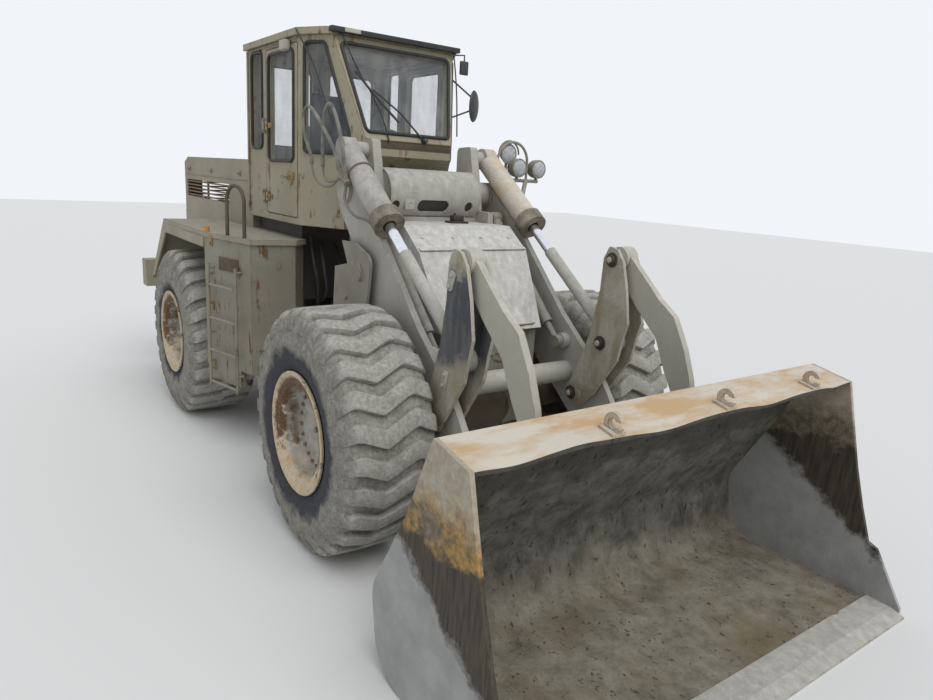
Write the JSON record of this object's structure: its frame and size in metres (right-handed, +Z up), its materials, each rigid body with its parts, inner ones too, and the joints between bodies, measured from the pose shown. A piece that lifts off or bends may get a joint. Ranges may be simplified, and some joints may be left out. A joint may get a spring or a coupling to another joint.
{
  "type": "wheel loader",
  "caption": "Articulated wheel loader with a wide bucket on paired boom arms, bellcranks and dump cylinders, an enclosed cab and lugged tyres.",
  "frame": {"origin": "on the ground under the middle of the whole machine", "axes": "+X forwards to the bucket, +Y to the machine's left, +Z up"},
  "size_m": [8.153, 3.098, 3.6548],
  "materials": {
    "body_paint": "dusty faded paint with rust",
    "cab_paint": "dusty faded khaki paint",
    "arm_paint": "dust-caked paint",
    "bucket_steel": "worn steel with rust and concrete crust",
    "axle_iron": "dusty cast iron",
    "window_glass": "dusty clear glass",
    "rod_chrome": "bright rod",
    "tyre_rubber": "dusty grey rubber",
    "rim_paint": "cream paint with rust",
    "seat_fabric": "dark cloth",
    "dark_plastic": "black plastic",
    "rail_steel": "worn painted tube",
    "lamp_lens": "lamp lens"
  },
  "bodies": {
    "rear_frame": {"rear_chassis": "body_paint", "rear_axle": "axle_iron", "engine_block": "axle_iron", "transmission": "axle_iron", "cab_base": "body_paint", "counterweight": "body_paint", "hood": "body_paint", "hood_grilles": "body_paint", "exhaust_pipe": "axle_iron", "decks": "body_paint", "side_boxes": "body_paint", "ladders": "rail_steel", "hand_rails": "rail_steel", "cab_shell": "cab_paint", "cab_roof": "cab_paint", "cab_glass": "window_glass", "seat_base": "dark_plastic", "seat_cushion": "seat_fabric", "seat_back": "seat_fabric", "console": "dark_plastic", "cab_mirror": "dark_plastic", "marker_lamps": "lamp_lens"},
    "front_frame": {"front_chassis": "body_paint", "front_axle": "axle_iron", "nose_box": "body_paint", "towers": "body_paint", "work_lamps": "lamp_lens"},
    "boom": {"boom_arms": "arm_paint"},
    "bellcranks": {"bellcranks": "arm_paint"},
    "tilt_links": {"tilt_links": "arm_paint"},
    "dump_barrels": {"dump_barrels": "arm_paint"},
    "dump_rods": {"dump_rods": "rod_chrome"},
    "dump_sleeves": {"dump_sleeves": "arm_paint"},
    "lift_barrels": {"lift_barrels": "arm_paint"},
    "lift_rods": {"lift_rods": "arm_paint"},
    "bucket": {"bucket_shell": "bucket_steel", "lip_hooks": "bucket_steel", "bucket_sides": "bucket_steel", "cutting_edge": "bucket_steel", "bucket_lugs": "arm_paint"},
    "door_right": {"door_right": "cab_paint", "door_glass_right": "window_glass"},
    "wheel_front_right": {"tyre_front_right": "tyre_rubber", "rim_front_right": "rim_paint"},
    "wheel_rear_right": {"tyre_rear_right": "tyre_rubber", "rim_rear_right": "rim_paint"},
    "door_left": {"door_left": "cab_paint", "door_glass_left": "window_glass"},
    "wheel_front_left": {"tyre_front_left": "tyre_rubber", "rim_front_left": "rim_paint"},
    "wheel_rear_left": {"tyre_rear_left": "tyre_rubber", "rim_rear_left": "rim_paint"}
  },
  "joints": [
    {"name": "steer", "type": "hinge", "parent": "rear_frame", "child": "front_frame", "pos_m": [-0.2865, 0, 0.64], "axis": [0, 0, 1], "range_deg": [-35, 35]},
    {"name": "boom_lift", "type": "hinge", "parent": "front_frame", "child": "boom", "pos_m": [0.5635, 0, 2.42], "axis": [0, -1, 0], "range_deg": [0, 73]},
    {"name": "bucket_tilt", "type": "hinge", "parent": "boom", "child": "bucket", "pos_m": [2.5835, 0, 0.4], "axis": [0, -1, 0], "range_deg": [-60, 30]},
    {"name": "bellcrank_turn", "type": "hinge", "parent": "boom", "child": "bellcranks", "pos_m": [1.9495, 0, 1.011], "axis": [0, -1, 0], "range_deg": [-39.7, 20.35]},
    {"name": "link_turn", "type": "hinge", "parent": "bellcranks", "child": "tilt_links", "pos_m": [2.1995, 0, 2.077], "axis": [0, -1, 0], "range_deg": [-15.49, 29.98]},
    {"name": "dump_barrel_turn", "type": "hinge", "parent": "front_frame", "child": "dump_barrels", "pos_m": [0.5135, 0, 2.72], "axis": [0, -1, 0], "range_deg": [0, 70.43]},
    {"name": "dump_rod_slide", "type": "slide", "parent": "dump_barrels", "child": "dump_rods", "axis": [0.7983, 0, -0.6022], "range_m": [-0.35087, 0]},
    {"name": "dump_sleeve_slide", "type": "slide", "parent": "dump_rods", "child": "dump_sleeves", "axis": [0.7983, 0, -0.6022], "range_m": [-0.17156, 0.33912]},
    {"name": "lift_barrel_turn", "type": "hinge", "parent": "front_frame", "child": "lift_barrels", "pos_m": [0.8335, 0, 2.24], "axis": [0, -1, 0], "range_deg": [0, 89.88]},
    {"name": "lift_rod_slide", "type": "slide", "parent": "lift_barrels", "child": "lift_rods", "axis": [0.714, 0, -0.7002], "range_m": [0, 0.16179]},
    {"name": "door_right_swing", "type": "hinge", "parent": "rear_frame", "child": "door_right", "pos_m": [-1.0215, -0.76, 2.285], "axis": [0, 0, -1], "range_deg": [0, 30]},
    {"name": "wheel_front_right_spin", "type": "hinge", "parent": "front_frame", "child": "wheel_front_right", "pos_m": [1.3635, -1.1025, 0.84], "axis": [0, 1, 0], "continuous": true},
    {"name": "wheel_rear_right_spin", "type": "hinge", "parent": "rear_frame", "child": "wheel_rear_right", "pos_m": [-1.9365, -1.1025, 0.84], "axis": [0, 1, 0], "continuous": true},
    {"name": "door_left_swing", "type": "hinge", "parent": "rear_frame", "child": "door_left", "pos_m": [-1.0215, 0.76, 2.285], "axis": [0, 0, 1], "range_deg": [0, 30]},
    {"name": "wheel_front_left_spin", "type": "hinge", "parent": "front_frame", "child": "wheel_front_left", "pos_m": [1.3635, 1.1025, 0.84], "axis": [0, 1, 0], "continuous": true},
    {"name": "wheel_rear_left_spin", "type": "hinge", "parent": "rear_frame", "child": "wheel_rear_left", "pos_m": [-1.9365, 1.1025, 0.84], "axis": [0, 1, 0], "continuous": true}
  ],
  "couplings": [
    {"joint": "bellcrank_turn", "follows": "bucket_tilt", "ratio": 0.64508},
    {"joint": "link_turn", "follows": "bucket_tilt", "ratio": -0.483},
    {"joint": "dump_sleeve_slide", "follows": "bucket_tilt", "m_per_rad": -0.32002},
    {"joint": "dump_barrel_turn", "follows": "boom_lift", "ratio": 0.95113},
    {"joint": "dump_rod_slide", "follows": "boom_lift", "m_per_rad": -0.27225},
    {"joint": "lift_barrel_turn", "follows": "boom_lift", "ratio": 1.2175},
    {"joint": "lift_rod_slide", "follows": "boom_lift", "m_per_rad": 0.12385}
  ]
}
